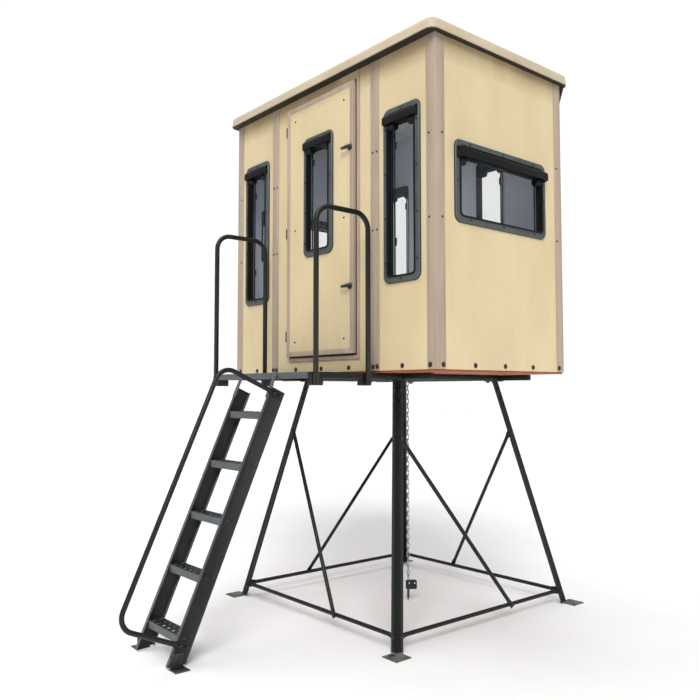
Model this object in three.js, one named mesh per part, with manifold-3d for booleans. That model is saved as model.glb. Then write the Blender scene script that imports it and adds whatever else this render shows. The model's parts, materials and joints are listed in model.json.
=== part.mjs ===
// Elevated box blind: a hard-sided cabin with seven opening windows and an outward door,
// on a splayed four-leg steel tower with an entry deck, two guard rails and a ladder.
// Millimetres, +Z up, door side facing -Y. The ground is z = 0.
import * as THREE from 'three';
import { mergeVertices } from 'three/addons/utils/BufferGeometryUtils.js';
import Module from 'manifold-3d';

const wasm = await Module();
wasm.setup();

// ---------------------------------------------------------------- driving dimensions
const GAP = 0.3;                       // clearance between bolted faces

const CABIN_LENGTH = 2134;             // along X, 7 ft
const CABIN_WIDTH = 1220;              // along Y, 4 ft
const WALL_HEIGHT = 1960;
const WALL_T = 32;
const BASE = 1625;                     // underside of the walls above the ground
const FLOOR_T = 12;

const ROOF_OVER_X = 44;
const ROOF_OVER_Y = 70;
const ROOF_FASCIA = 76;
const ROOF_ROUND = 30;                 // rounding of the roof's top edge
const ROOF_CORNER = 75;                // plan radius of its corners
const REAR_SOFFIT_DROP = 140;

const CORNER_TRIM = 76;                // leg of the corner angle
const TRIM_T = 3;

const DOOR_WIDTH = 730;
const DOOR_Z0 = 117;                   // above the wall's underside
const DOOR_Z1 = 1889;
const DOOR_T = 22;
const DOOR_FACE_Y = -25;
const DOOR_LAP = 26;                   // how far the door covers the wall round its opening
const HINGE_AXIS_X = -372.5;
const HINGE_AXIS_Y = -14;
const HINGE_HEIGHTS = [260, 1000, 1740];
const LATCH_X = 335;
const LATCH_HEIGHTS = [548, 1453];

// width, height, centre height, how far the drip hood starts below the frame's top, its reach
const TALL = { w: 311, h: 1077, z: 1065, hoodTop: 34, reach: 22 };
const WIDE = { w: 876, h: 495, z: 1115, hoodTop: 46, reach: 32 };
const DOOR_LITE = { w: 316, h: 830, z: 1210, hoodTop: 20, reach: 20 };
const FRONT_WINDOW_X = 790;
const REAR_WINDOW_X = 485;
const SIDE_WINDOW_Y = 595;
const FRAME_RADIUS = 48;
const FRAME_BAND = 44;                 // face width of a window frame
const FRAME_PROUD = 14;
const COLLAR_T = 6;
const HOOD_HEIGHT = 62;                // front face of the drip hood
const HOOD_INSET = 12;                 // its ends inside the frame's ends
const HEADER_DROP = 103;               // its underside at the pane, below the frame's top
const BOSS_RADIUS = 27;
const BOSS_LENGTH = 60;
const PANE_T = 6;
const PANE_LAP = 5;                    // how far a pane covers its collar

const BEAM = 38;                       // square tube of the platform
const BEAM_TOP = BASE - FLOOR_T - 2 * GAP;
const BEAM_X = 550;                    // outer face of the side beams
const DECK_FRONT = -495;
const OUTRIGGER_X = 788;
const TOWER_Y = 735;                   // centre line of the tower
const RING = 507;                      // half the platform ring under the cabin

const RAIL_TUBE = 32;
const RAIL_HEIGHT = 2587;
const RAIL_BOTTOM = 1536;
const RAIL_BEND = 100;
const RAIL_YS = [-478, -78];

const LEG_FOOT = 830;                  // half the footprint at the ground
const LEG_SPLAY = 0.2099;              // inward run for each unit of height
const LEG_FLANGE = 50;
const LEG_T = 4;
const TIE_Z = 87;
const BRACE_TOP_Z = 1205;
const ROD = 26;                         // tubes of the ties and braces
const BRACE_LOW_X = 235;               // where a brace lands, past the middle of its tie
const CHAIN_X = 75;                    // the chain hangs beside the middle of its beam

const LADDER_FOOT_Y = -1205;
const LADDER_LEAN = 0.4403;            // run for each unit of height
const TREAD_HALF = 180;
const TREAD_RISE = 302;
const FIRST_TREAD = 166;
const TREADS = 5;
const STRINGER_DEPTH = 100;
const STRINGER_FLANGE = 25;
const HANDRAIL_TUBE = 28;
const HANDRAIL_REACH = 380;

// ---------------------------------------------------------------- finishes
const finish = (color, roughness, metalness, extra = {}) =>
  () => new THREE.MeshStandardMaterial({ color, roughness, metalness, ...extra });
const PANEL = finish(0xe4d3a8, 0.55, 0.0);
const ROOF = finish(0xcdbc9c, 0.6, 0.0);
const TRIM = finish(0xb9a68f, 0.5, 0.0);
const PLY = finish(0xa8632c, 0.8, 0.0);
const STEEL = finish(0x343734, 0.5, 0.6);
const FRAME = finish(0x23282a, 0.55, 0.0);
const GLASS = finish(0x59636a, 0.08, 0.0, { transparent: true, opacity: 0.45 });
const BLACK = finish(0x151515, 0.45, 0.1);
const ZINC = finish(0xa9adac, 0.35, 0.9);

// ---------------------------------------------------------------- shape helpers
function solid(geometry) {
  const bare = geometry.clone();
  bare.deleteAttribute('normal');
  bare.deleteAttribute('uv');
  const merged = mergeVertices(bare, 1e-3);
  return new wasm.Manifold(new wasm.Mesh({
    numProp: 3,
    vertProperties: new Float32Array(merged.attributes.position.array),
    triVerts: new Uint32Array(merged.index.array),
  }));
}

function fromSolid(body) {
  const mesh = body.getMesh();
  const geometry = new THREE.BufferGeometry();
  geometry.setAttribute('position', new THREE.BufferAttribute(mesh.vertProperties, 3));
  geometry.setIndex(new THREE.BufferAttribute(mesh.triVerts, 1));
  geometry.computeVertexNormals();
  return geometry;
}

const join = (...parts) => fromSolid(parts.map(solid).reduce((a, b) => a.add(b)));
const cut = (part, ...tools) => fromSolid(tools.map(solid).reduce((a, b) => a.subtract(b), solid(part)));

function block(x0, x1, y0, y1, z0, z1) {
  const geometry = new THREE.BoxGeometry(x1 - x0, y1 - y0, z1 - z0);
  return geometry.translate((x0 + x1) / 2, (y0 + y1) / 2, (z0 + z1) / 2);
}

function roundRect(w, h, r) {
  const shape = new THREE.Shape();
  shape.moveTo(-w / 2 + r, -h / 2);
  shape.lineTo(w / 2 - r, -h / 2);
  shape.absarc(w / 2 - r, -h / 2 + r, r, -Math.PI / 2, 0);
  shape.absarc(w / 2 - r, h / 2 - r, r, 0, Math.PI / 2);
  shape.absarc(-w / 2 + r, h / 2 - r, r, Math.PI / 2, Math.PI);
  shape.absarc(-w / 2 + r, -h / 2 + r, r, Math.PI, 1.5 * Math.PI);
  return shape;
}

function polygon(points) {
  return new THREE.Shape(points.map(([x, y]) => new THREE.Vector2(x, y)));
}

// A flat shape drawn in X and Z and given its thickness from y0 to y1.
function upright(shape, y0, y1, curveSegments = 4) {
  const geometry = new THREE.ExtrudeGeometry(shape, { depth: y1 - y0, bevelEnabled: false, curveSegments });
  return geometry.rotateX(Math.PI / 2).translate(0, y1, 0);
}

// A profile drawn in Y and Z and drawn out along X.
function alongX(shape, x0, x1, curveSegments = 6) {
  const geometry = new THREE.ExtrudeGeometry(shape, { depth: x1 - x0, bevelEnabled: false, curveSegments });
  return geometry.rotateY(Math.PI / 2).rotateX(Math.PI / 2).translate(x0, 0, 0);
}

function rod(from, to, radius, sides = 12) {
  const axis = new THREE.Vector3().subVectors(to, from);
  const geometry = new THREE.CylinderGeometry(radius, radius, axis.length(), sides);
  const turn = new THREE.Quaternion().setFromUnitVectors(new THREE.Vector3(0, 1, 0), axis.clone().normalize());
  const middle = new THREE.Vector3().addVectors(from, to).multiplyScalar(0.5);
  return geometry.applyQuaternion(turn).translate(middle.x, middle.y, middle.z);
}

// A path that a tube follows from vertex to vertex.
class BentPath extends THREE.Curve {
  constructor(points) {
    super();
    this.points = points;
  }

  getUtoTmapping(u) {
    return u;
  }

  getPoint(t, target = new THREE.Vector3()) {
    const at = Math.min(Math.max(t, 0), 1) * (this.points.length - 1);
    const k = Math.min(Math.floor(at), this.points.length - 2);
    return target.lerpVectors(this.points[k], this.points[k + 1], at - k);
  }
}

// Straight runs through the given corners, each inner corner turned with a bend radius.
function bentPoints(corners, radius, steps = 8) {
  const points = [corners[0]];
  for (let i = 1; i < corners.length - 1; i += 1) {
    const back = new THREE.Vector3().subVectors(corners[i - 1], corners[i]).normalize();
    const on = new THREE.Vector3().subVectors(corners[i + 1], corners[i]).normalize();
    const half = back.angleTo(on) / 2;
    const reach = radius / Math.tan(half);
    const middle = back.clone().add(on).normalize();
    const centre = corners[i].clone().addScaledVector(middle, radius / Math.sin(half));
    const start = corners[i].clone().addScaledVector(back, reach).sub(centre);
    const end = corners[i].clone().addScaledVector(on, reach).sub(centre);
    const axis = new THREE.Vector3().crossVectors(start, end).normalize();
    const sweep = Math.PI - 2 * half;
    for (let k = 0; k <= steps; k += 1) {
      points.push(start.clone().applyAxisAngle(axis, sweep * k / steps).add(centre));
    }
  }
  points.push(corners[corners.length - 1]);
  return points;
}

function bentTube(corners, bendRadius, tubeRadius, sides = 12) {
  const points = bentPoints(corners, bendRadius);
  const section = new THREE.Shape();
  for (let k = 0; k < sides; k += 1) {
    const angle = 2 * Math.PI * k / sides;
    const at = [tubeRadius * Math.cos(angle), tubeRadius * Math.sin(angle)];
    if (k === 0) section.moveTo(...at);
    else section.lineTo(...at);
  }
  section.closePath();
  return new THREE.ExtrudeGeometry(section, {
    steps: points.length - 1, extrudePath: new BentPath(points), bevelEnabled: false,
  });
}

const group = new THREE.Group();

function part(name, geometry, material, parent = group) {
  const mesh = new THREE.Mesh(geometry, material());
  mesh.name = name;
  parent.add(mesh);
  return mesh;
}

// ---------------------------------------------------------------- walls and windows
const HALF_L = CABIN_LENGTH / 2;
const collar = (size) => ({ w: size.w - 2 * FRAME_BAND + 2 * COLLAR_T, h: size.h - 2 * FRAME_BAND + 2 * COLLAR_T });

function windowHole(size, x, y0, y1) {
  const { w, h } = collar(size);
  const shape = roundRect(w + 4, h + 4, FRAME_RADIUS - FRAME_BAND + 2 * COLLAR_T + 14);
  return upright(shape, y0, y1).translate(x, 0, BASE + size.z);
}

// A window frame about its own centre, with y = 0 on the outer face it is screwed to.
function windowFrame(size, depth) {
  const outer = roundRect(size.w, size.h, FRAME_RADIUS);
  const lip = collar(size);
  const inner = { w: lip.w - 2 * COLLAR_T, h: lip.h - 2 * COLLAR_T };
  const face = upright(outer, -FRAME_PROUD, -GAP);
  const raised = upright(roundRect(lip.w + 16, lip.h + 16, 34), -FRAME_PROUD - 6, -FRAME_PROUD + 1);
  const sleeve = upright(roundRect(lip.w, lip.h, 28), -1, depth + 2);
  const hole = upright(roundRect(inner.w, inner.h, 22), -60, depth + 60);
  const front = -FRAME_PROUD - size.reach;
  const top = size.h / 2 - size.hoodTop;
  const hoodHalf = size.w / 2 - HOOD_INSET;
  const hood = alongX(polygon([
    [-FRAME_PROUD + 1, top], [front + 8, top - 3], [front, top - 14], [front, top - HOOD_HEIGHT + 8],
    [front + 8, top - HOOD_HEIGHT], [-FRAME_PROUD + 1, top - HOOD_HEIGHT - 6],
  ]), -hoodHalf, hoodHalf);
  const headerHalf = inner.w / 2 + 1;
  const header = alongX(polygon([
    [-FRAME_PROUD - 2, top - 10], [depth + 1, size.h / 2 - FRAME_BAND + 2], [depth + 1, size.h / 2 - HEADER_DROP],
    [-FRAME_PROUD - 2, top - HOOD_HEIGHT - 4],
  ]), -headerHalf, headerHalf);
  const throat = upright(roundRect(inner.w + 2, inner.h + 2, 23), -60, depth + 1);
  const bossZ = top - HOOD_HEIGHT - BOSS_RADIUS / 2;
  const bossY = depth + 1 - BOSS_RADIUS;
  const bosses = [-headerHalf, headerHalf - BOSS_LENGTH].map((x) => solid(rod(
    new THREE.Vector3(x, bossY, bossZ), new THREE.Vector3(x + BOSS_LENGTH, bossY, bossZ), BOSS_RADIUS, 16,
  )));
  const shell = solid(face).add(solid(raised)).add(solid(sleeve)).subtract(solid(hole));
  const inside = [solid(header), ...bosses].map((body) => body.intersect(solid(throat)));
  return fromSolid([solid(hood), ...inside].reduce((a, b) => a.add(b), shell));
}

function windowPane(size, depth) {
  const inner = collar(size);
  const w = inner.w - 2 * COLLAR_T + 2 * PANE_LAP;
  const h = inner.h - 2 * COLLAR_T + 2 * PANE_LAP;
  return upright(roundRect(w, h, 24), depth + 2 + GAP, depth + 2 + GAP + PANE_T);
}

// name, size, position on the cabin, turn about Z from the door side, thickness it passes through
const windows = [
  ['front_left', TALL, [-FRONT_WINDOW_X, 0], 0, WALL_T],
  ['front_right', TALL, [FRONT_WINDOW_X, 0], 0, WALL_T],
  ['door', DOOR_LITE, [0, DOOR_FACE_Y], 0, DOOR_T],
  ['right', WIDE, [HALF_L, SIDE_WINDOW_Y], Math.PI / 2, WALL_T],
  ['left', WIDE, [-HALF_L, SIDE_WINDOW_Y], -Math.PI / 2, WALL_T],
  ['rear_right', TALL, [REAR_WINDOW_X, CABIN_WIDTH], Math.PI, WALL_T],
  ['rear_left', TALL, [-REAR_WINDOW_X, CABIN_WIDTH], Math.PI, WALL_T],
];
for (const [side, size, [x, y], turn, depth] of windows) {
  const place = new THREE.Group();
  place.position.set(x, y, BASE + size.z);
  place.rotation.z = turn;
  group.add(place);
  part(`window_frame_${side}`, windowFrame(size, depth), FRAME, place);
  part(`window_sash_${side}`, windowPane(size, depth), GLASS, place);
}

function longWall(y0, y1, ...holes) {
  const panel = block(-HALF_L, HALF_L, y0, y1, BASE, BASE + WALL_HEIGHT);
  return cut(panel, ...holes);
}

const doorOpening = block(
  -DOOR_WIDTH / 2 + DOOR_LAP, DOOR_WIDTH / 2 - DOOR_LAP, -20, WALL_T + 20,
  BASE + DOOR_Z0 + DOOR_LAP, BASE + DOOR_Z1 - DOOR_LAP,
);
part('front_wall', longWall(
  0, WALL_T, doorOpening,
  windowHole(TALL, -FRONT_WINDOW_X, -20, WALL_T + 20),
  windowHole(TALL, FRONT_WINDOW_X, -20, WALL_T + 20),
), PANEL);
part('rear_wall', longWall(
  CABIN_WIDTH - WALL_T, CABIN_WIDTH,
  windowHole(TALL, -REAR_WINDOW_X, CABIN_WIDTH - WALL_T - 20, CABIN_WIDTH + 20),
  windowHole(TALL, REAR_WINDOW_X, CABIN_WIDTH - WALL_T - 20, CABIN_WIDTH + 20),
), PANEL);

for (const [name, side] of [['right_wall', 1], ['left_wall', -1]]) {
  const x = side * (HALF_L - WALL_T / 2);
  const panel = block(
    x - WALL_T / 2, x + WALL_T / 2, WALL_T + GAP, CABIN_WIDTH - WALL_T - GAP, BASE, BASE + WALL_HEIGHT,
  );
  const hole = windowHole(WIDE, 0, -20, WALL_T + 20).rotateZ(side * Math.PI / 2);
  hole.translate(side * HALF_L, SIDE_WINDOW_Y, 0);
  part(name, cut(panel, hole), PANEL);
}

const trimShape = polygon([
  [0, 0], [CORNER_TRIM, 0], [CORNER_TRIM, TRIM_T], [TRIM_T, TRIM_T], [TRIM_T, CORNER_TRIM], [0, CORNER_TRIM],
]);
const corners = [['front_left', 1, 1], ['front_right', -1, 1], ['rear_right', -1, -1], ['rear_left', 1, -1]];
corners.forEach(([name], quarter) => {
  const angle = new THREE.ExtrudeGeometry(trimShape, { depth: WALL_HEIGHT - 2, bevelEnabled: false });
  const mesh = part(`corner_trim_${name}`, angle, TRIM);
  const [, sx, sy] = corners[quarter];
  mesh.rotation.z = quarter * Math.PI / 2;
  mesh.position.set(
    -sx * (HALF_L + TRIM_T + GAP),
    sy > 0 ? -(TRIM_T + GAP) : CABIN_WIDTH + TRIM_T + GAP,
    BASE + 1,
  );
});

part('floor_panel', block(
  -HALF_L + 4, HALF_L - 4, 4, CABIN_WIDTH - 4, BASE - GAP - FLOOR_T, BASE - GAP,
), PLY);

// ---------------------------------------------------------------- roof
const roofLength = CABIN_LENGTH + 2 * ROOF_OVER_X;
const roofWidth = CABIN_WIDTH + 2 * ROOF_OVER_Y;
const roofShape = roundRect(roofLength - 2 * ROOF_ROUND, roofWidth - 2 * ROOF_ROUND, ROOF_CORNER - ROOF_ROUND);
const roofBottom = BASE + WALL_HEIGHT + GAP;
const roofBody = new THREE.ExtrudeGeometry(roofShape, {
  depth: ROOF_FASCIA - ROOF_ROUND, curveSegments: 5,
  bevelEnabled: true, bevelThickness: ROOF_ROUND, bevelSize: ROOF_ROUND, bevelSegments: 4,
}).translate(0, CABIN_WIDTH / 2, roofBottom);
const soffit = alongX(polygon([
  [CABIN_WIDTH + TRIM_T + 2 * GAP, 0], [CABIN_WIDTH + ROOF_OVER_Y - 12, 0],
  [CABIN_WIDTH + TRIM_T + 2 * GAP, -REAR_SOFFIT_DROP],
]), -HALF_L, HALF_L).translate(0, 0, roofBottom + 1);
part('roof_shell', fromSolid(
  solid(roofBody)
    .subtract(solid(block(-2000, 2000, -500, 2000, roofBottom - 100, roofBottom)))
    .subtract(solid(block(
      -HALF_L + 60, HALF_L - 60, 60, CABIN_WIDTH - 60, roofBottom - 1, roofBottom + ROOF_FASCIA - 30,
    )))
    .add(solid(soffit)),
), ROOF);

// ---------------------------------------------------------------- door
const doorPanel = block(
  -DOOR_WIDTH / 2, DOOR_WIDTH / 2, DOOR_FACE_Y, DOOR_FACE_Y + DOOR_T, BASE + DOOR_Z0, BASE + DOOR_Z1,
);
part('door_panel', cut(doorPanel, windowHole(DOOR_LITE, 0, DOOR_FACE_Y - 20, 20)), PANEL);

HINGE_HEIGHTS.forEach((height, k) => {
  const z = BASE + height;
  const barrel = new THREE.CylinderGeometry(6, 6, 76, 12).rotateX(Math.PI / 2);
  barrel.translate(HINGE_AXIS_X, HINGE_AXIS_Y, z);
  const leaf = block(HINGE_AXIS_X - 34, HINGE_AXIS_X + 2, -3 - GAP, -GAP, z - 36, z + 36);
  const knuckle = block(HINGE_AXIS_X - 5, HINGE_AXIS_X + 1, HINGE_AXIS_Y, -2, z - 36, z + 36);
  part(`door_hinge_${k + 1}`, join(barrel, leaf, knuckle), BLACK);
});

LATCH_HEIGHTS.forEach((height, k) => {
  const hub = new THREE.CylinderGeometry(19, 22, 16, 20).translate(0, -8, 0);
  const arm = block(-64, 0, -16, -8, -7, 7);
  const tip = new THREE.CylinderGeometry(9, 9, 12, 12).translate(-66, -13, 0);
  const mesh = part(`door_latch_${k === 0 ? 'lower' : 'upper'}`, join(hub, arm, tip), BLACK);
  mesh.position.set(LATCH_X, DOOR_FACE_Y - GAP, BASE + height);
});

// ---------------------------------------------------------------- platform
const BEAM_BOTTOM = BEAM_TOP - BEAM;
const ringFront = TOWER_Y - RING;
const ringRear = TOWER_Y + RING;
const BRACKET = { length: 85, drop: 41 };
for (const [name, side] of [['left', -1], ['right', 1]]) {
  const span = (a, b) => (side > 0 ? [a, b] : [-b, -a]);
  const inner = BEAM_X - BEAM;
  const beam = block(...span(inner, BEAM_X), DECK_FRONT, ringRear, BEAM_BOTTOM, BEAM_TOP);
  const arms = [ringFront, ringRear - BEAM].map((y) => block(
    ...span(BEAM_X - 1, OUTRIGGER_X), y, y + BEAM, BEAM_BOTTOM, BEAM_TOP,
  ));
  const brackets = [DECK_FRONT, RAIL_YS[1] - BRACKET.length / 2].map((y) => block(
    ...span(inner, BEAM_X), y, y + BRACKET.length, BEAM_BOTTOM - BRACKET.drop, BEAM_BOTTOM + 1,
  ));
  part(`platform_side_beam_${name}`, join(beam, ...arms, ...brackets), STEEL);

  const x = side * (BEAM_X + RAIL_TUBE / 2 + GAP);
  const posts = [
    [RAIL_YS[0], RAIL_BOTTOM], [RAIL_YS[0], RAIL_HEIGHT], [RAIL_YS[1], RAIL_HEIGHT], [RAIL_YS[1], RAIL_BOTTOM],
  ].map(([y, z]) => new THREE.Vector3(x, y, z));
  part(`guard_rail_${name}`, bentTube(posts, RAIL_BEND, RAIL_TUBE / 2), STEEL);
}

const crossHalf = BEAM_X - BEAM - GAP;
const crossBeams = [['front', ringFront], ['middle', TOWER_Y - BEAM / 2], ['rear', ringRear - BEAM]];
for (const [name, y] of crossBeams) {
  part(`platform_cross_beam_${name}`, block(-crossHalf, crossHalf, y, y + BEAM, BEAM_BOTTOM, BEAM_TOP), STEEL);
}

// The deck is one weldment: a front beam and a grate of flat slats behind it.
const DECK_DEPTH = 25;
const deckRear = -8;
const SLATS = 9;
const slatPitch = (deckRear - DECK_FRONT - BEAM) / SLATS;
const slotShapes = Array.from({ length: SLATS }, (_, k) => {
  const y = DECK_FRONT + BEAM + k * slatPitch;
  return block(-crossHalf + 6, crossHalf - 6, y, y + slatPitch - 22, BEAM_BOTTOM, BEAM_TOP + 5);
});
const deckPlate = block(-crossHalf, crossHalf, DECK_FRONT, deckRear, BEAM_TOP - DECK_DEPTH, BEAM_TOP);
const deckBeam = block(-crossHalf, crossHalf, DECK_FRONT, DECK_FRONT + BEAM, BEAM_BOTTOM, BEAM_TOP);
part('deck_grate', join(cut(deckPlate, ...slotShapes), deckBeam), STEEL);

// ---------------------------------------------------------------- tower
const tower = new THREE.Group();
tower.position.y = TOWER_Y;
group.add(tower);
const legCorner = (z) => LEG_FOOT - LEG_SPLAY * z;

// The front-left leg about the tower's centre line: an outward corner angle with end plates.
function towerLeg() {
  const height = BEAM_BOTTOM - 1;
  const f = LEG_FLANGE;
  const profile = polygon([[0, 0], [f, 0], [f, LEG_T], [LEG_T, LEG_T], [LEG_T, f], [0, f]]);
  const angle = new THREE.ExtrudeGeometry(profile, { depth: height - 2, bevelEnabled: false }).translate(0, 0, 2);
  angle.applyMatrix4(new THREE.Matrix4().set(
    1, 0, LEG_SPLAY, -LEG_FOOT,
    0, 1, LEG_SPLAY, -LEG_FOOT,
    0, 0, 1, 0,
    0, 0, 0, 1,
  ));
  const toe = -LEG_FOOT - 84;
  const foot = block(toe, toe + 118, toe, toe + 118, 0, 6);
  const head = block(-BEAM_X, -BEAM_X + 100, -RING, -RING + 100, height - 5, BEAM_BOTTOM - GAP);
  return join(angle, foot, head);
}

// The front tie: a tube with a flat tongue at each end, bolted inside the two leg flanges.
function baseTie() {
  const top = TIE_Z + ROD / 2;
  const y = -legCorner(top) + LEG_T + 0.8;
  const reach = legCorner(top) - LEG_T - 7;
  const body = reach - 54;
  const tongue = block(-reach, reach, y, y + LEG_T, TIE_Z - ROD / 2, top);
  const tube = rod(new THREE.Vector3(-body, y + ROD / 2, TIE_Z), new THREE.Vector3(body, y + ROD / 2, TIE_Z), ROD / 2);
  return join(tongue, tube);
}

// The front brace: from high on the front-left leg to beyond the middle of the front tie.
function legBrace() {
  const high = new THREE.Vector3(
    -legCorner(BRACE_TOP_Z) + LEG_T + 29, -legCorner(BRACE_TOP_Z) + LEG_T + 2.6, BRACE_TOP_Z,
  );
  const low = new THREE.Vector3(BRACE_LOW_X, -legCorner(TIE_Z) + 1.7, TIE_Z - 3);
  const along = new THREE.Vector3().subVectors(low, high);
  const length = along.length();
  along.normalize();
  const outward = new THREE.Vector3(0, -1, LEG_SPLAY).normalize();
  const across = new THREE.Vector3().crossVectors(along, outward).normalize();
  const square = new THREE.Vector3().crossVectors(along, across);
  const frame = new THREE.Matrix4().makeBasis(across, square, along).setPosition(high);
  const tongues = [[-16, 84], [length - 46, length + 12]].map(([a, b]) => block(-13, 13, -2, 2, a, b));
  const tube = rod(new THREE.Vector3(0, 0, 78), new THREE.Vector3(0, 0, length - 40), ROD / 2);
  return join(...tongues, tube).applyMatrix4(frame);
}

const legNames = ['front_left', 'front_right', 'rear_right', 'rear_left'];
const faceNames = ['front', 'right', 'rear', 'left'];
for (let quarter = 0; quarter < 4; quarter += 1) {
  const face = new THREE.Group();
  face.rotation.z = quarter * Math.PI / 2;
  tower.add(face);
  part(`tower_leg_${legNames[quarter]}`, towerLeg(), STEEL, face);
  part(`base_tie_${faceNames[quarter]}`, baseTie(), STEEL, face);
  part(`leg_brace_${faceNames[quarter]}`, legBrace(), STEEL, face);
}

// The hold-down chain and the ground anchor, under the platform's middle beam.
const ANCHOR_TOP = 150;
part('hold_down_chain', new THREE.CylinderGeometry(7, 7, BEAM_BOTTOM - ANCHOR_TOP - 2 * GAP, 8)
  .rotateX(Math.PI / 2)
  .translate(CHAIN_X, 0, (BEAM_BOTTOM + ANCHOR_TOP) / 2), ZINC, tower);
const anchorPlate = upright(roundRect(80, 66, 12), -4, 4, 4).translate(22, 0, ANCHOR_TOP - 33);
const anchorHoles = [8, 46].map((x) => new THREE.CylinderGeometry(6, 6, 40, 12).translate(x, 0, ANCHOR_TOP - 24));
const stake = new THREE.LatheGeometry([
  [0, 4], [8.5, 30], [8.5, ANCHOR_TOP - 12], [0, ANCHOR_TOP - 12],
].map(([r, z]) => new THREE.Vector2(r, z)), 16).rotateX(Math.PI / 2);
const anchor = part('ground_anchor', cut(join(anchorPlate, stake), ...anchorHoles), BLACK, tower);
anchor.position.x = CHAIN_X;
anchor.rotation.z = 0.87;

// ---------------------------------------------------------------- ladder
const lean = Math.atan(LADDER_LEAN);
const ladder = new THREE.Group();
ladder.position.y = LADDER_FOOT_Y;
group.add(ladder);
const STRINGER_CLEAR = 12;             // the cut foot of a stringer above the ground
const STRINGER_TOP = 1668;             // length along the leaning stringer
const SHEET = 3;

// Along the stringer is local Z, into the ladder is local +Y; leaning turns it about X.
function stringer(side) {
  const depth = STRINGER_DEPTH;
  const flange = STRINGER_FLANGE;
  const channel = polygon([
    [0, 0], [flange, 0], [flange, depth], [0, depth], [0, depth - SHEET],
    [flange - SHEET, depth - SHEET], [flange - SHEET, SHEET], [0, SHEET],
  ].map(([x, y]) => [side * (TREAD_HALF + 1 + x), y]));
  const rail = new THREE.ExtrudeGeometry(channel, { depth: STRINGER_TOP + 10, bevelEnabled: false });
  rail.translate(0, 0, -10);
  const web = TREAD_HALF + 1 + flange;
  const span = (a, b) => (side > 0 ? [a, b] : [-b, -a]);
  const strap = block(...span(web - 34, web), -4, 1, STRINGER_TOP - 70, STRINGER_TOP + 84);
  const leaning = cut(join(rail, strap).rotateX(-lean), block(-400, 400, -200, 200, -200, STRINGER_CLEAR));
  const ankle = block(...span(web - 1, web + 5), 20, 96, 2, 78);
  const sole = block(...span(web - 1, web + 78), 14, 102, 0, 5);
  return join(leaning, ankle, sole);
}
part('ladder_stringer_left', stringer(-1), STEEL, ladder);
part('ladder_stringer_right', stringer(1), STEEL, ladder);

const TREAD_DEPTH = 92;
const TREAD_LIP = 42;
const treadShape = polygon([
  [0, 0], [TREAD_DEPTH, 0], [TREAD_DEPTH, -30], [TREAD_DEPTH - SHEET, -30], [TREAD_DEPTH - SHEET, -SHEET],
  [SHEET, -SHEET], [SHEET, -TREAD_LIP], [0, -TREAD_LIP],
]);
for (let k = 0; k < TREADS; k += 1) {
  const z = FIRST_TREAD + k * TREAD_RISE;
  const tread = alongX(treadShape, -TREAD_HALF + GAP, TREAD_HALF - GAP).translate(0, 2 + LADDER_LEAN * z, z);
  part(`ladder_tread_${k + 1}`, tread, STEEL, ladder);
}

// The ladder's handrail: two arms square to the right stringer and a run along it.
const handrailX = TREAD_HALF + 1 + STRINGER_FLANGE + HANDRAIL_TUBE / 2 + GAP;
const along = (s, d) => new THREE.Vector3(
  handrailX,
  s * Math.sin(lean) - d * Math.cos(lean),
  s * Math.cos(lean) + d * Math.sin(lean),
);
const HANDRAIL_LOW = 140;
const HANDRAIL_HIGH = 1636;
const ARM_BACK = -86;
part('ladder_handrail', bentTube([
  along(HANDRAIL_LOW, ARM_BACK), along(HANDRAIL_LOW, HANDRAIL_REACH),
  along(HANDRAIL_HIGH, HANDRAIL_REACH), along(HANDRAIL_HIGH, ARM_BACK),
], 90, HANDRAIL_TUBE / 2), STEEL, ladder);

// ---------------------------------------------------------------- frame of reference
// The origin is on the ground under the middle of the whole object.
const extent = new THREE.Box3().setFromObject(group);
group.position.set(-(extent.min.x + extent.max.x) / 2, -(extent.min.y + extent.max.y) / 2, 0);

export default group;
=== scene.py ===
"""Looks of the elevated box blind: cabin skins and trims, moulded windows, door, roof cap,
platform, splayed tower, ladder, chain and ground anchor. Metres, +Z up, door side facing -Y."""
import json
import math

import bmesh
import bpy
from mathutils import Matrix, Vector


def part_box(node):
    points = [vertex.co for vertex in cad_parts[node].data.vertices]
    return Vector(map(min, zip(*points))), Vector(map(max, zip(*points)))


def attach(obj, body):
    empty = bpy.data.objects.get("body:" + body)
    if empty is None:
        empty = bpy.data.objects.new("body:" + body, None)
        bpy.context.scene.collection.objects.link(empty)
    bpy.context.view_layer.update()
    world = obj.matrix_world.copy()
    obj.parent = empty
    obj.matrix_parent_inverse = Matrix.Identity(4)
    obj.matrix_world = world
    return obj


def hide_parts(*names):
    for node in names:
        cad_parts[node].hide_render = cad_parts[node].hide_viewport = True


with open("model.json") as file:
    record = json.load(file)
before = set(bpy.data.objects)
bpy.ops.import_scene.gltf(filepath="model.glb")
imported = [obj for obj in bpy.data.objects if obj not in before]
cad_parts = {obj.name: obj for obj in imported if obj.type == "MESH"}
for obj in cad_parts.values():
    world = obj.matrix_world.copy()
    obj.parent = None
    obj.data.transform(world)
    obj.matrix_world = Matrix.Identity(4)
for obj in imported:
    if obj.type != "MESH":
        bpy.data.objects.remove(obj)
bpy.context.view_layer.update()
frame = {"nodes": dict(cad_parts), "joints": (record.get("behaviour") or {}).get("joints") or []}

TURN = 2 * math.pi
GAP = 0.0003  # clearance between bolted faces

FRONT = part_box("front_wall")[0].y  # outer faces of the cabin walls
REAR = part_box("rear_wall")[1].y
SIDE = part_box("right_wall")[1].x
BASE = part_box("front_wall")[0].z  # underside of the walls
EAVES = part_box("front_wall")[1].z
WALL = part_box("front_wall")[1].y - FRONT
CABIN_Y = (FRONT + REAR) / 2
DOOR_LOW, DOOR_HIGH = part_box("door_panel")
TRIM_FACE = 0.0033  # how far the corner trims stand off the walls


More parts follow.
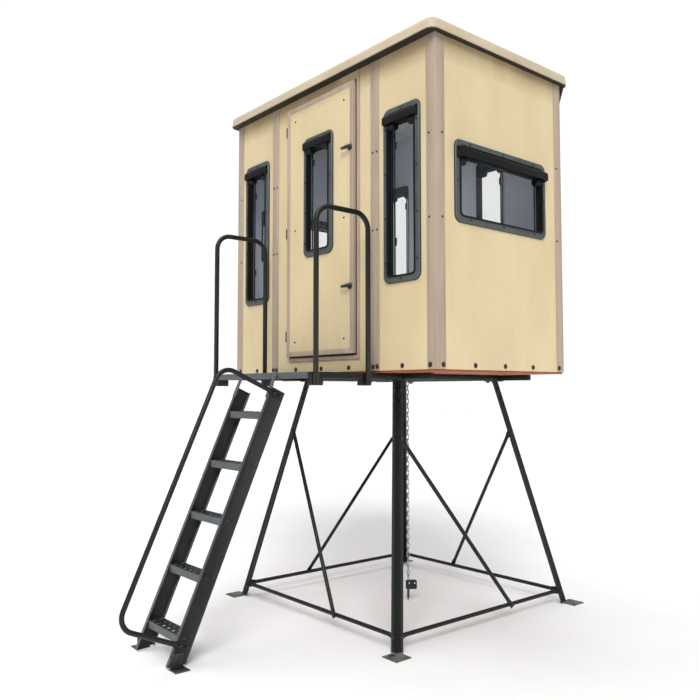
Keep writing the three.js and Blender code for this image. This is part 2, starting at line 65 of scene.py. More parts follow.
# ---- camera, light and floor
def placed(name, data):
    """Puts a camera, a light or a mesh into the scene."""
    made = bpy.data.objects.new(name, data)
    bpy.context.scene.collection.objects.link(made)
    return made


def camera():
    """Stands on the right of the ladder and looks slightly up at the cabin's near corner."""
    lens = bpy.data.cameras.new("camera")
    lens.lens = 38.59
    lens.sensor_width = 36
    lens.shift_y = -0.0044
    lens.clip_end = 200
    made = placed("camera", lens)
    made.location = (3.997, -3.182, 1.502)
    made.rotation_euler = (math.radians(93.34), 0, math.radians(50.02))
    bpy.context.scene.camera = made


def sky():
    """Even white light all round, a little brighter where it is seen directly."""
    world = bpy.data.worlds.new("sky")
    world.use_nodes = True
    bpy.context.scene.world = world
    tree = world.node_tree
    direct = tree.nodes.new("ShaderNodeLightPath")
    strength = tree.nodes.new("ShaderNodeMapRange")
    strength.inputs["To Min"].default_value = 0.34
    strength.inputs["To Max"].default_value = 1.05
    tree.links.new(direct.outputs["Is Camera Ray"], strength.inputs["Value"])
    tree.links.new(strength.outputs[0], tree.nodes["Background"].inputs["Strength"])
    tree.nodes["Background"].inputs["Color"].default_value = (1, 1, 1, 1)


def sun(name, towards, strength, spread):
    """A distant light from a direction; spread is its size in degrees."""
    light = bpy.data.lights.new(name, "SUN")
    light.energy = strength
    light.angle = math.radians(spread)
    placed(name, light).rotation_euler = Vector(towards).to_track_quat("Z", "Y").to_euler()


def cabin_light():
    """A faint fill inside the cabin, unseen itself, so that the liner shows through the panes."""
    light = bpy.data.lights.new("cabin_light", "POINT")
    light.energy = 7
    light.shadow_soft_size = 0.3
    made = placed("cabin_light", light)
    made.location = (0, CABIN_Y, BASE + 0.9)
    made.visible_camera = False
    made.visible_glossy = False


def studio():
    """Camera, lights and a wide floor."""
    bpy.context.scene.view_settings.view_transform = "Standard"
    camera()
    sky()
    sun("key_light", (0.55, -0.52, 0.66), 2.3, 30)
    sun("top_light", (-0.25, -0.10, 1.0), 1.25, 50)
    cabin_light()
    bm = bmesh.new()
    bmesh.ops.create_circle(bm, cap_ends=True, radius=60, segments=48)
    mesh = bpy.data.meshes.new("studio_floor")
    bm.to_mesh(mesh)
    mesh.materials.append(FLOOR)
    floor = placed("studio_floor", mesh)


# ---- shader building
class Value:
    """A shader output that grows Math nodes when it is used in an expression."""

    def __init__(self, finish, socket):
        self.finish = finish
        self.socket = socket

    def maths(self, operation, *others):
        return self.finish.node("Math", {"operation": operation}, dict(enumerate((self, *others))))

    def __add__(self, other):
        return self.maths("ADD", other)

    def __mul__(self, other):
        return self.maths("MULTIPLY", other)

    def __sub__(self, other):
        return self.maths("SUBTRACT", other)

    def __rsub__(self, other):
        return self.finish.node("Math", {"operation": "SUBTRACT"}, {0: other, 1: self})

    __radd__ = __add__
    __rmul__ = __mul__

    def over(self, low, high):
        """0 up to low, rising to 1 at high."""
        return self.finish.node("MapRange", {}, {0: self, 1: low, 2: high})


class Finish:
    """A node material under construction."""

    def __init__(self, name):
        self.material = bpy.data.materials.new(name)
        self.material.use_nodes = True
        self.tree = self.material.node_tree
        self.shader = self.tree.nodes["Principled BSDF"]

    def feed(self, socket, value):
        if isinstance(value, Value):
            self.tree.links.new(value.socket, socket)
        else:
            socket.default_value = value

    def node(self, kind, settings=None, inputs=None, output=0):
        made = self.tree.nodes.new("ShaderNode" + kind)
        for key, value in (settings or {}).items():
            setattr(made, key, value)
        for key, value in (inputs or {}).items():
            self.feed(made.inputs[key], value)
        return Value(self, made.outputs[output])

    def place(self, scale=(1, 1, 1)):
        """The point on the object, stretched by scale."""
        at = self.node("TexCoord", output="Object")
        return self.node("Mapping", {}, {"Vector": at, "Scale": scale})

    def noise(self, at, scale, detail=4.0, rough=0.55):
        return self.node("TexNoise", {}, {"Vector": at, "Scale": scale, "Detail": detail, "Roughness": rough})

    def axes(self):
        """The x, y and z of the point on the object."""
        split = self.tree.nodes.new("ShaderNodeSeparateXYZ")
        self.feed(split.inputs[0], self.node("TexCoord", output="Object"))
        return [Value(self, output) for output in split.outputs]

    def mix(self, share, first, second):
        return self.node("Mix", {"data_type": "RGBA"}, {0: share, 6: first, 7: second}, output=2)

    def relief(self, height, depth):
        bump = self.node("Bump", {}, {"Height": height, "Distance": depth})
        self.feed(self.shader.inputs["Normal"], bump)

    def set(self, **values):
        for key, value in values.items():
            self.feed(self.shader.inputs[key.replace("_", " ")], value)
        return self.material


def colour(red, green, blue):
    """A display colour from 0 to 255 as linear light."""
    return (*[((c / 255 + 0.055) / 1.055) ** 2.4 for c in (red, green, blue)], 1)


def two_tone(f, tones, patch, grain, stretch=(1, 1, 1)):
    """Two tones drifting in patches: the colour, its drift and a fine grain."""
    drift = f.noise(f.place(stretch), patch, 5)
    fine = f.noise(f.place(), grain, 3)
    return f.mix(drift.over(0.32, 0.68), colour(*tones[0]), colour(*tones[1])), drift, fine


def rubbed(f, tone, fine, bare):
    """A colour whose sharp edges are rubbed through to a barer one."""
    edges = f.node("NewGeometry", output="Pointiness").over(0.515, 0.58)
    return f.mix(edges * fine.over(0.42, 0.62) * 0.7, tone, colour(*bare))


def uneven(rough, drift):
    """A roughness that wanders a little with the drift of the tones."""
    return rough + (drift - 0.5) * 0.16


def mottled(name, tones, patch, grain, depth, rough, stretch=(1, 1, 1), metallic=0.0, wear=None,
            coat=0.0, shine=0.5):
    """Two drifting tones with fine relief, uneven gloss and, if asked, rubbed edges."""
    f = Finish(name)
    tone, drift, fine = two_tone(f, tones, patch, grain, stretch)
    if wear:
        tone = rubbed(f, tone, fine, wear)
    f.relief(fine, depth)
    return f.set(Base_Color=tone, Roughness=uneven(rough, drift), Metallic=metallic, Coat_Weight=coat,
                 Specular_IOR_Level=shine)


# ---- finishes
SKIN_FADE = 0.16  # height of the skin's stained band at the foot and of the painted shadow band under the eaves
POWDER = ((24, 27, 23), (16, 18, 15))  # the two tones of the steel's powder coat
POWDER_RUBBED = (66, 69, 64)
FOOT_PLATE_TOP = 0.012


def finish_skin():
    """Tan panel skin with faint cloudy streaks outside, a painted shadow band under the eaves, and a grey
    liner on the cabin's inner faces.
    """
    f = Finish("panel_skin")
    x, y, z = f.axes()
    clouds = f.noise(f.place((1.2, 1.2, 0.55)), 2.2, 6)
    streaks = f.noise(f.place((14, 14, 0.8)), 1.0, 4)
    tan = f.mix(clouds.over(0.30, 0.72), colour(226, 208, 168), colour(212, 192, 150))
    tan = f.mix(streaks.over(0.45, 0.75) * 0.14, tan, colour(233, 217, 180))
    splash = (BASE + SKIN_FADE - z).over(0.0, SKIN_FADE) * clouds.over(0.4, 0.7)
    tan = f.mix(splash * 0.5, tan, colour(208, 187, 146))
    # painted shadow: the skin darkens to brown towards the eaves, standing in for the shade of the roof's
    # overhang
    painted_eave_shadow = (z - (EAVES - SKIN_FADE)).over(0.0, SKIN_FADE) * clouds.over(0.0, 0.5)
    tan = f.mix(painted_eave_shadow * 0.75, tan, colour(138, 110, 70))
    inner = x.maths("ABSOLUTE").maths("LESS_THAN", SIDE - WALL / 2)
    inner = inner * y.maths("GREATER_THAN", FRONT + WALL / 2) * y.maths("LESS_THAN", REAR - WALL / 2)
    liner = f.mix(clouds.over(0.3, 0.7), colour(196, 205, 214), colour(180, 190, 200))
    f.relief(f.noise(f.place(), 420, 2), 0.0004)
    return f.set(Base_Color=f.mix(inner, tan, liner), Roughness=0.46 + (clouds - 0.5) * 0.2)


def finish_leg():
    """Powder coat scuffed through to dull metal on top of the foot plates."""
    f = Finish("leg_coat")
    tone, drift, fine = two_tone(f, POWDER, 5.0, 520)
    tone = rubbed(f, tone, fine, POWDER_RUBBED)
    low = (FOOT_PLATE_TOP - f.axes()[2]).over(0.0, 0.004)
    tone = f.mix(low * f.noise(f.place(), 26, 4).over(0.3, 0.6) * 0.8, tone, colour(122, 126, 118))
    f.relief(fine, 0.0005)
    return f.set(Base_Color=tone, Roughness=uneven(0.40, drift), Coat_Weight=0.04, Specular_IOR_Level=0.3)


def finish_tread():
    """The same coat with painted light: a paler blue-grey where a face looks forward and up."""
    f = Finish("tread_coat")
    tone, drift, fine = two_tone(f, ((33, 36, 34), (24, 26, 24)), 9.0, 480)
    normal = f.node("NewGeometry", output="Normal")
    ahead = f.node("VectorMath", {"operation": "DOT_PRODUCT"}, {0: normal, 1: (0, -0.91, 0.41)},
                   output="Value")
    # painted light: faces that look forward and up take a paler blue-grey, as if lit
    painted_sheen = f.mix(drift.over(0.3, 0.7), colour(82, 89, 96), colour(68, 75, 82))
    tone = f.mix(ahead.over(0.45, 0.85) * 0.9, tone, painted_sheen)
    tone = rubbed(f, tone, fine, (120, 124, 122))
    f.relief(fine, 0.0006)
    return f.set(Base_Color=tone, Roughness=uneven(0.44, drift), Coat_Weight=0.04, Specular_IOR_Level=0.3)


def finish_plywood():
    """Stained plywood: long grain on the faces, thin plies on the edges."""
    f = Finish("stained_plywood")
    here = f.place((1.5, 22, 1.5))
    grain = f.noise(here, 3.0, 8, 0.65)
    rings = f.node("TexWave", {"wave_type": "BANDS", "bands_direction": "Z"},
                   {"Vector": f.place(), "Scale": 95.0, "Distortion": 0.6, "Detail": 1.0})
    face = f.mix(grain.over(0.3, 0.7), colour(186, 98, 48), colour(146, 70, 32))
    f.relief(grain, 0.0008)
    return f.set(Base_Color=f.mix(rings.over(0.35, 0.65) * 0.35, face, colour(120, 58, 30)),
                 Roughness=0.62 + (grain - 0.5) * 0.2)


def finish_glass():
    """Grey tinted pane, clear enough to see the far windows through."""
    f = Finish("tinted_pane")
    haze = f.noise(f.place((1, 1, 0.6)), 3.0, 4)
    return f.set(Base_Color=f.mix(haze.over(0.3, 0.7), colour(96, 106, 114), colour(112, 122, 130)),
                 Roughness=0.03 + haze * 0.05, Alpha=0.08 + (haze - 0.5) * 0.06, IOR=1.5)


# ---- shape building
def add(bm, other, place=Matrix()):
    """Copies another bmesh's shape into this one at a placement."""
    stamp = bpy.data.meshes.new("stamp")
    other.to_mesh(stamp)
    start = len(bm.verts)
    bm.from_mesh(stamp)
    bm.verts.ensure_lookup_table()
    bmesh.ops.transform(bm, matrix=place, verts=bm.verts[start:])
    bpy.data.meshes.remove(stamp)
    return bm


def copies(unit, places):
    """One shape stamped at every placement."""
    bm = bmesh.new()
    for place in places:
        add(bm, unit, place)
    return bm


def facing_out(bm):
    """Turns every face outward."""
    bmesh.ops.recalc_face_normals(bm, faces=bm.faces)
    return bm


def edges_of(verts):
    """Every edge that meets the vertices."""
    return list({edge for v in verts for edge in v.link_edges})


def bridge(bm, loops):
    """Joins each loop of edges to the next."""
    for first, second in zip(loops, loops[1:]):
        bmesh.ops.bridge_loops(bm, edges=first + second)


def move_new(bm, grown, vec):
    """Moves the vertices that an extrusion has made."""
    fresh = [v for v in grown["geom"] if isinstance(v, bmesh.types.BMVert)]
    bmesh.ops.translate(bm, vec=vec, verts=fresh)


def soften(bm, width, segments=2, sharper_than=35):
    """Rounds every edge that is sharper than an angle."""
    limit = math.radians(sharper_than)
    edges = [e for e in bm.edges if len(e.link_faces) == 2 and e.calc_face_angle() > limit]
    bmesh.ops.bevel(bm, geom=edges, offset=width, segments=segments, profile=0.5, affect="EDGES",
                    clamp_overlap=True, material=-1)
    return bm


def bar(low, high, edge=0.0015):
    """A straight bar between two corners."""
    low, high = Vector(low), Vector(high)
    bm = bmesh.new()
    bmesh.ops.create_cube(bm, size=1)
    bmesh.ops.scale(bm, vec=high - low, verts=bm.verts)
    bmesh.ops.translate(bm, vec=(low + high) / 2, verts=bm.verts)
    return soften(bm, edge)


def bars(*pairs, edge=0.0015):
    """Several bars as one piece."""
    bm = bmesh.new()
    for low, high in pairs:
        add(bm, bar(low, high, edge))
    return bm


def drawn_out(outline, along, edge=0.0015, segments=2):
    """A flat outline of points drawn out by a vector."""
    bm = bmesh.new()
    face = bm.faces.new([bm.verts.new(point) for point in outline])
    move_new(bm, bmesh.ops.extrude_face_region(bm, geom=[face], use_keep_orig=True), along)
    return soften(facing_out(bm), edge, segments)


def turned(profile, sides=20):
    """A body of revolution about Z from (radius, height) points that start and end on the axis."""
    bm = bmesh.new()
    verts = [bm.verts.new((radius, 0, height)) for radius, height in profile]
    edges = [bm.edges.new(pair) for pair in zip(verts, verts[1:])]
    bmesh.ops.spin(bm, geom=verts + edges, cent=(0, 0, 0), axis=(0, 0, 1), dvec=(0, 0, 0),
                   angle=TURN, steps=sides, use_merge=True, use_duplicate=False)
    bmesh.ops.remove_doubles(bm, verts=bm.verts, dist=1e-6)
    return facing_out(bm)


def ring(bm, width, height, radius, depth, steps=6):
    """The edges of a rounded rectangle in X and Z at y = depth."""
    made = bmesh.ops.create_circle(bm, cap_ends=False, radius=radius, segments=4 * steps)["verts"]
    bmesh.ops.rotate(bm, cent=(0, 0, 0), matrix=Matrix.Rotation(TURN / (8 * steps), 3, "Z"), verts=made)
    for v in made:
        across = v.co.x + math.copysign(width / 2 - radius, v.co.x)
        up = v.co.y + math.copysign(height / 2 - radius, v.co.y)
        v.co = (across, depth, up)
    return edges_of(made)


def moulding(sections, closed=True, steps=6):
    """A moulding round a rounded rectangle; each section is (width, height, corner radius, depth)."""
    bm = bmesh.new()
    rings = [ring(bm, *section, steps=steps) for section in sections]
    bridge(bm, rings + (rings[:1] if closed else []))
    if not closed:
        bmesh.ops.holes_fill(bm, edges=[e for e in bm.edges if e.is_boundary])
    return facing_out(bm)


def filleted(corners, bend, steps=8):
    """Straight runs through the corners, each inner corner rounded to the bend radius."""
    points = [corners[0]]
    for before, corner, after in zip(corners, corners[1:], corners[2:]):
        back, on = (before - corner).normalized(), (after - corner).normalized()
        half = back.angle(on) / 2
        reach = bend / math.tan(half)
        centre = corner + (back + on).normalized() * bend / math.sin(half)
        start = corner + back * reach - centre
        axis = start.cross(corner + on * reach - centre).normalized()
        points += [Matrix.Rotation((math.pi - 2 * half) * k / steps, 3, axis) @ start + centre
                   for k in range(steps + 1)]
    return points + [corners[-1]]


def swept(path, side, sections, sides=20):
    """A bar along a path that lies square to `side`; sections are half sizes along and across it."""
    bm = bmesh.new()
    loops = []
    last = len(path) - 1
    for k, (point, (wide, thick)) in enumerate(zip(path, sections)):
        tangent = (path[min(k + 1, last)] - path[max(k - 1, 0)]).normalized()
        across = tangent.cross(side)
        place = Matrix((side * wide, across * thick, tangent)).transposed().to_4x4()
        place.translation = point
        made = bmesh.ops.create_circle(bm, cap_ends=False, radius=1, segments=sides, matrix=place)["verts"]
        loops.append(edges_of(made))
    bridge(bm, loops)
    bmesh.ops.holes_fill(bm, edges=[e for e in bm.edges if e.is_boundary])
    return soften(facing_out(bm), 0.0006, 1, 60)


def finished(name, bm, material, replaces=(), crease=32, body="blind"):
    """Makes the shown piece, which rides on a body and stands for any CAD nodes named."""
    mesh = bpy.data.meshes.new(name)
    bm.to_mesh(mesh)
    bm.free()
    mesh.shade_smooth()
    mesh.set_sharp_from_angle(angle=math.radians(crease))
    mesh.materials.append(material)
    piece = placed(name, mesh)
    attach(piece, body)
    if replaces:
        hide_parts(*replaces)


def dressed(node, material, edge=0.0015, segments=2):
    """A CAD node's own shape, welded and with its edges rounded, that stands for it."""
    bm = bmesh.new()
    bm.from_mesh(frame["nodes"][node].data)
    bmesh.ops.remove_doubles(bm, verts=bm.verts, dist=2e-5)
    bmesh.ops.dissolve_limit(bm, angle_limit=math.radians(1), verts=bm.verts, edges=bm.edges)
    soften(bm, edge, segments)
    finished(node + "_dressed", bm, material, (node,))


def facing(direction, at):
    """A placement that turns local +Z to a direction."""
    place = Vector(direction).to_track_quat("Z", "Y").to_matrix().to_4x4()
    place.translation = Vector(at)
    return place


def screw():
    """Pan-head screw, 14 mm across."""
    return turned([(0, 0), (0.007, 0), (0.007, 0.0012), (0.0057, 0.0032), (0.003, 0.0042),
                   (0.0027, 0.0028), (0, 0.0026)], 10)


def carriage_bolt():
    """Domed bolt on a 31 mm washer."""
    return turned([(0, 0), (0.0155, 0), (0.0155, 0.0016), (0.0145, 0.0024), (0.0112, 0.0024),
                   (0.0106, 0.0052), (0.0086, 0.0082), (0.005, 0.010), (0, 0.0106)], 20)


def hex_bolt(across):
    """Hexagon head on a plain washer."""
    half = across / 2
    bm = turned([(0, 0), (half * 1.35, 0), (half * 1.35, 0.0016), (half * 1.25, 0.002), (0, 0.002)], 18)
    head = turned([(0, 0.002), (half * 1.12, 0.002), (half * 1.12, 0.0095), (half * 0.95, 0.0108),
                   (0, 0.0108)], 6)
    return add(bm, head)


# ---- materials in use
SKIN = finish_skin()
LEG = finish_leg()
TREAD = finish_tread()
PLYWOOD = finish_plywood()
GLASS = finish_glass()
FLOOR = mottled("studio_floor", ((246, 246, 246), (250, 250, 250)), 1.5, 40, 0.0003, 0.9)
ROOF = mottled("roof_cap", ((208, 194, 168), (192, 177, 150)), 3.0, 260, 0.0006, 0.58, (1, 1, 1.6))
# painted shade: near-black brown for the shadowed underside of the roof and its rear wedge
SOFFIT = mottled("soffit_painted_shade", ((40, 30, 18), (30, 23, 13)), 6.0, 180, 0.0005, 0.75)
TRIM = mottled("taupe_trim", ((186, 167, 148), (168, 150, 132)), 2.4, 320, 0.0003, 0.42, (6, 6, 0.7))
STEEL = mottled("powder_coat", POWDER, 5.0, 520, 0.0005, 0.40, wear=POWDER_RUBBED, coat=0.04, shine=0.3)
FRAME = mottled("moulded_frame", ((80, 87, 88), (64, 71, 73)), 7.0, 700, 0.0003, 0.40,
                wear=(106, 112, 112))
BLACK = mottled("black_rubber", ((16, 17, 17), (10, 11, 11)), 12.0, 600, 0.0004, 0.62)
MOULDED = mottled("moulded_black", ((17, 19, 20), (11, 12, 13)), 9.0, 700, 0.0003, 0.5,
                  wear=(34, 37, 38), shine=0.2)
HARDWARE = mottled("black_hardware", ((34, 34, 33), (22, 22, 22)), 20.0, 900, 0.0003, 0.34,
                   metallic=0.3, wear=(88, 86, 82))
ZINC = mottled("galvanised", ((186, 189, 188), (146, 150, 150)), 60.0, 800, 0.0003, 0.33, metallic=0.9)
BRIGHT = mottled("bright_tip", ((220, 221, 222), (190, 192, 194)), 40.0, 900, 0.0001, 0.16, metallic=1.0)
LINER = mottled("ceiling_liner", ((206, 211, 215), (190, 196, 202)), 4.0, 300, 0.0004, 0.7)


def carried_over():
    """CAD nodes whose own shape is right keep it and get their finish."""
    skins = ("front_wall", "rear_wall", "right_wall", "left_wall", "door_panel")
    panes = [name for name in frame["nodes"] if name.startswith("window_sash_")]
    for material, names in ((SKIN, skins), (PLYWOOD, ("floor_panel",)), (GLASS, panes)):
        for name in names:
            for slot in frame["nodes"][name].material_slots:
                slot.material = material


# ---- windows
BAND = 0.044  # a frame's face, from its outer edge to its opening
FLANGE = 0.0135  # how far the face stands off the wall
SLEEVE = 0.002  # how far the frame's sleeve comes through the wall
PANE_BACK = 0.0083  # the pane's inner face, behind the wall's
HOOD_HEIGHT = 0.062
HOOD_CHEEK = 0.022  # width of the solid end of a hood
HEADER_DROP = 0.103  # underside of the header at the pane, below the frame's top

# side: its wall, its turn about Z from the door side, the hood's start below the frame's top, its reach
WINDOWS = {
    "front_left": ("front_wall", 0, 0.034, 0.022),
    "front_right": ("front_wall", 0, 0.034, 0.022),
    "door": ("door_panel", 0, 0.020, 0.020),
    "right": ("right_wall", 90, 0.046, 0.032),
    "left": ("left_wall", -90, 0.046, 0.032),
    "rear_right": ("rear_wall", 180, 0.034, 0.022),
    "rear_left": ("rear_wall", 180, 0.034, 0.022),
}


class Opening:
    """A window's placement and size, read from its CAD frame and the wall behind it."""

    def __init__(self, side):
        wall, turn, self.hood_start, self.reach = WINDOWS[side]
        low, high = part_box("window_frame_" + side)
        wall_low, wall_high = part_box(wall)
        size, middle = high - low, (low + high) / 2
        sideways = abs(turn) == 90
        self.width = size.y if sideways else size.x
        self.height = size.z
        self.depth = wall_high.x - wall_low.x if sideways else wall_high.y - wall_low.y
        outer = {0: (middle.x, wall_low.y), 90: (wall_high.x, middle.y),
                 -90: (wall_low.x, middle.y), 180: (middle.x, wall_high.y)}[turn]
        self.place = Matrix.Translation((*outer, middle.z)) @ Matrix.Rotation(math.radians(turn), 4, "Z")


def frame_flange(o):
    """Screw flange with a rolled outer edge, and the sleeve behind it through the wall."""
    back = o.depth + SLEEVE
    profile = [
        (0, 0.048, -GAP), (0, 0.048, -0.0095), (0.005, 0.0455, -0.0125), (0.011, 0.043, -0.013),
        (0.066, 0.029, -FLANGE), (0.070, 0.028, -0.012), (0.070, 0.028, back - 0.0006), (0.077, 0.027, back),
        (0.077, 0.027, -GAP - 0.0006),
    ]
    return section_round(o, profile)


def frame_reveal(o):
    """Black lip round the opening and the deep stepped reveal down to the pane; the black also serves as
    painted shade inside the deep reveal.
    """
    back = o.depth + SLEEVE
    profile = [
        (0.0665, 0.029, -0.0128), (0.0655, 0.029, -0.0165), (0.067, 0.0285, -0.0188), (0.070, 0.028, -0.0195),
        (0.080, 0.025, -0.020), (0.085, 0.023, -0.0185), (0.088, 0.022, -0.015), (0.088, 0.022, 0.011),
        (0.084, 0.024, 0.013), (0.084, 0.024, 0.0175), (0.088, 0.022, 0.0195), (0.088, 0.022, back - 0.0006),
        (0.0705, 0.028, back),
    ]
    return section_round(o, profile)


def section_round(o, profile):
    """A moulding whose sections are given as (inset, corner radius, depth) from the frame's edge."""
    return moulding([(o.width - inset, o.height - inset, radius, depth) for inset, radius, depth in profile])


def hood_shell(front, top, half):
    """The hood's bent cowl and the solid cheek at each of its ends."""
    root, foot = 0.001 - FLANGE, top - HOOD_HEIGHT
    cowl = [(root, top), (front + 0.016, top - 0.004), (front + 0.006, top - 0.011), (front, top - 0.024),
            (front, foot), (front + 0.006, foot), (front + 0.007, top - 0.026),
            (front + 0.013, top - 0.017), (root, top - 0.012)]
    bm = drawn_out([(-half, y, z) for y, z in cowl], (2 * half, 0, 0), 0.0012)
    cheek = [(root, top - 0.001), (front + 0.016, top - 0.005), (front + 0.006, top - 0.012),
             (front + 0.001, top - 0.025), (front + 0.001, foot + 0.002), (front + 0.010, foot - 0.004),
             (root, foot - 0.010)]
    for start in (-half, half - HOOD_CHEEK):
        add(bm, drawn_out([(start, y, z) for y, z in cheek], (HOOD_CHEEK, 0, 0), 0.003, 3))
    return bm


def drip_hood(o):
    """The hood over the opening: its shell, the header down to the pane and a boss at each end."""
    front = -FLANGE - o.reach
    top = o.height / 2 - o.hood_start
    foot = top - HOOD_HEIGHT
    half = o.width / 2 - 0.012
    throat = o.width / 2 - BAND - 0.0008
    bm = hood_shell(front, top, half)
    header = [(0.004 - FLANGE, top - 0.012), (o.depth + 0.0012, o.height / 2 - BAND - 0.001),
              (o.depth + 0.0012, o.height / 2 - HEADER_DROP), (0.004 - FLANGE, foot + 0.006)]
    add(bm, drawn_out([(-throat, y, z) for y, z in header], (2 * throat, 0, 0), 0.003))
    boss = turned([(0, 0), (0.0255, 0), (0.027, 0.0015), (0.027, 0.044), (0.0245, 0.049), (0.018, 0.052),
                   (0, 0.052)], 24)
    knuckle = turned([(0, 0), (0.0135, 0), (0.0155, 0.002), (0.0155, 0.032), (0.0125, 0.036), (0, 0.036)], 18)
    for end in (-1, 1):
        inward = (-end, 0, 0)
        add(bm, boss, facing(inward, (end * throat, o.depth - 0.026, foot - 0.0135)))
        add(bm, knuckle, facing(inward, (end * (half + 0.0015), front + 0.016, foot + 0.016)))
    return bm


def flange_screws(o):
    """Screws 19.5 mm in from the frame's edge: four up each tall side, three along each wide one."""
    inset = 0.0195
    x, z = o.width / 2 - inset, o.height / 2 - inset
    if o.height > o.width:
        rows = [o.height * share for share in (-0.385, -0.128, 0.128, 0.385)]
        spots = [(side * x, row) for side in (-1, 1) for row in rows] + [(0, -z), (0, z)]
    else:
        columns = [o.width * share for share in (-0.354, 0, 0.354)]
        spots = [(column, side * z) for side in (-1, 1) for column in columns] + [(-x, 0), (x, 0)]
    return copies(screw(), [facing((0, -1, 0), (sx, -FLANGE, sz)) for sx, sz in spots])


def sash_fittings(o):
    """Glazing channel round the pane's inner face, two hinge barrels and a turn catch."""
    w, h = o.width - 2 * BAND + 0.010, o.height - 2 * BAND + 0.010
    inner = o.depth + PANE_BACK + GAP
    channel = [(0, 0.024, inner), (0, 0.024, inner + 0.006), (0.002, 0.023, inner + 0.008),
               (0.014, 0.018, inner + 0.0086), (0.016, 0.017, inner + 0.006), (0.016, 0.017, inner + 0.0006)]
    bm = moulding([(w - inset, h - inset, radius, depth) for inset, radius, depth in channel])
    barrel = turned([(0, 0), (0.004, 0), (0.005, 0.001), (0.005, 0.049), (0.004, 0.050), (0, 0.050)], 12)
    for share in (-0.3, 0.3):
        if o.height > o.width:
            add(bm, barrel, facing((0, 0, 1), (-w / 2 + 0.008, inner + 0.012, h * share)))
        else:
            add(bm, barrel, facing((1, 0, 0), (w * share, inner + 0.012, h / 2 - 0.008)))
    knob = turned([(0, 0), (0.010, 0), (0.010, 0.006), (0.007, 0.009), (0.007, 0.018), (0.011, 0.022),
                   (0.011, 0.030), (0.008, 0.033), (0, 0.033)], 16)
    spot = (w / 2 - 0.012, inner + 0.008, 0) if o.height > o.width else (0, inner + 0.008, -h / 2 + 0.012)
    return add(bm, knob, facing((0, 1, 0), spot))


# the rubber round a frame, as (inset, corner radius, depth) from the frame's edge
GASKET = ((-0.006, 0.051, -GAP), (-0.006, 0.051, -0.003), (-0.004, 0.050, -0.005),
          (0.004, 0.046, -0.0056), (0.004, 0.046, -GAP - 0.0006))


def windows():
    """Frame, hood, gasket and screws on the wall or the door, and the channel on the sash."""
    for side in WINDOWS:
        o = Opening(side)
        wall_body = "door" if side == "door" else "blind"
        jobs = (
            ("frame", frame_flange(o), wall_body, "frame", FRAME),
            # the reveal takes the hood's black moulding, which partly stands in as painted shade inside the
            # reveal
            ("hood", add(frame_reveal(o), drip_hood(o)), wall_body, "black", MOULDED),
            ("gasket", section_round(o, GASKET), wall_body, "black", BLACK),
            ("screws", flange_screws(o), wall_body, "black", HARDWARE),
            ("sash_channel", sash_fittings(o), "sash_" + side, "black", BLACK),
        )
        for kind, bm, body, slot, material in jobs:
            bmesh.ops.transform(bm, matrix=o.place, verts=bm.verts)
            name = f"window_{kind}_{side}"
            if kind == "frame":
                finished(name + "_moulding", bm, material, (name,), body=body)
            else:
                finished(name, bm, material, body=body)


# ---- wall trims and fasteners
BATTEN_X = 0.547  # centre of the strips over the front wall's panel joints
BATTEN = 0.080
SCREW_ROWS = (BASE + 0.878, BASE + 1.372)
BOLT_ROW = BASE + 0.026
CORNER_SCREW = 0.050  # screws and bolts in from the cabin's corners


def trims():
    """Corner angles, and the flat strips over the panel joints."""
    for name in ("front_left", "front_right", "rear_right", "rear_left"):
        dressed("corner_trim_" + name, TRIM, 0.0012)
    front = [((x - BATTEN / 2, FRONT - TRIM_FACE, BASE + 0.001), (x + BATTEN / 2, FRONT - GAP, EAVES - 0.001))
             for x in (-BATTEN_X, BATTEN_X)]
    rear = ((-BATTEN / 2, REAR + GAP, BASE + 0.001), (BATTEN / 2, REAR + TRIM_FACE, EAVES - 0.001))
    finished("wall_battens", bars(*front, rear, edge=0.001), TRIM)


def wall_fasteners():
    """Small screws up the trims, and domed bolts along the foot of every wall."""
    pair = 0.020
    edge = SIDE - CORNER_SCREW
    front_x = [-edge, -BATTEN_X - pair, -BATTEN_X + pair, BATTEN_X - pair, BATTEN_X + pair, edge]
    rear_x = [-edge, -pair, pair, edge]
    side_y = [FRONT + CORNER_SCREW, REAR - CORNER_SCREW]
    small = []
    for z in SCREW_ROWS:
        small += [facing((0, -1, 0), (x, FRONT - TRIM_FACE, z)) for x in front_x]
        small += [facing((0, 1, 0), (x, REAR + TRIM_FACE, z)) for x in rear_x]
        small += [facing((side, 0, 0), (side * (SIDE + TRIM_FACE), y, z)) for side in (-1, 1) for y in side_y]
    large = [facing((0, -1, 0), (x, FRONT - TRIM_FACE, BOLT_ROW)) for x in front_x]
    large += [facing((0, -1, 0), (x, FRONT - GAP, BOLT_ROW)) for x in (-0.785, -0.29, 0, 0.29, 0.785)]
    large += [facing((0, 1, 0), (x, REAR + TRIM_FACE, BOLT_ROW)) for x in rear_x]
    large += [facing((0, 1, 0), (x, REAR + GAP, BOLT_ROW)) for x in (-0.72, -0.37, 0.37, 0.72)]
    pitch = (side_y[1] - side_y[0]) / 4
    for side in (-1, 1):
        for k in range(5):
            stand_off = TRIM_FACE if k in (0, 4) else GAP
            large.append(facing((side, 0, 0), (side * (SIDE + stand_off), side_y[0] + k * pitch, BOLT_ROW)))
    finished("wall_screws", copies(screw(), small), HARDWARE)
    finished("wall_bolts", copies(carriage_bolt(), large), HARDWARE)


def ceiling():
    """Liner boards under the roof with two cover strips along their joints."""
    inset = WALL + 0.004
    low, high = (-SIDE + inset, FRONT + inset, EAVES - 0.008), (SIDE - inset, REAR - inset, EAVES - 0.001)
    strips = [((x - 0.025, low[1], EAVES - 0.012), (x + 0.025, high[1], EAVES - 0.007))
              for x in (-0.34, 0.34)]
    finished("ceiling_liner", bars((low, high), *strips, edge=0.001), LINER)


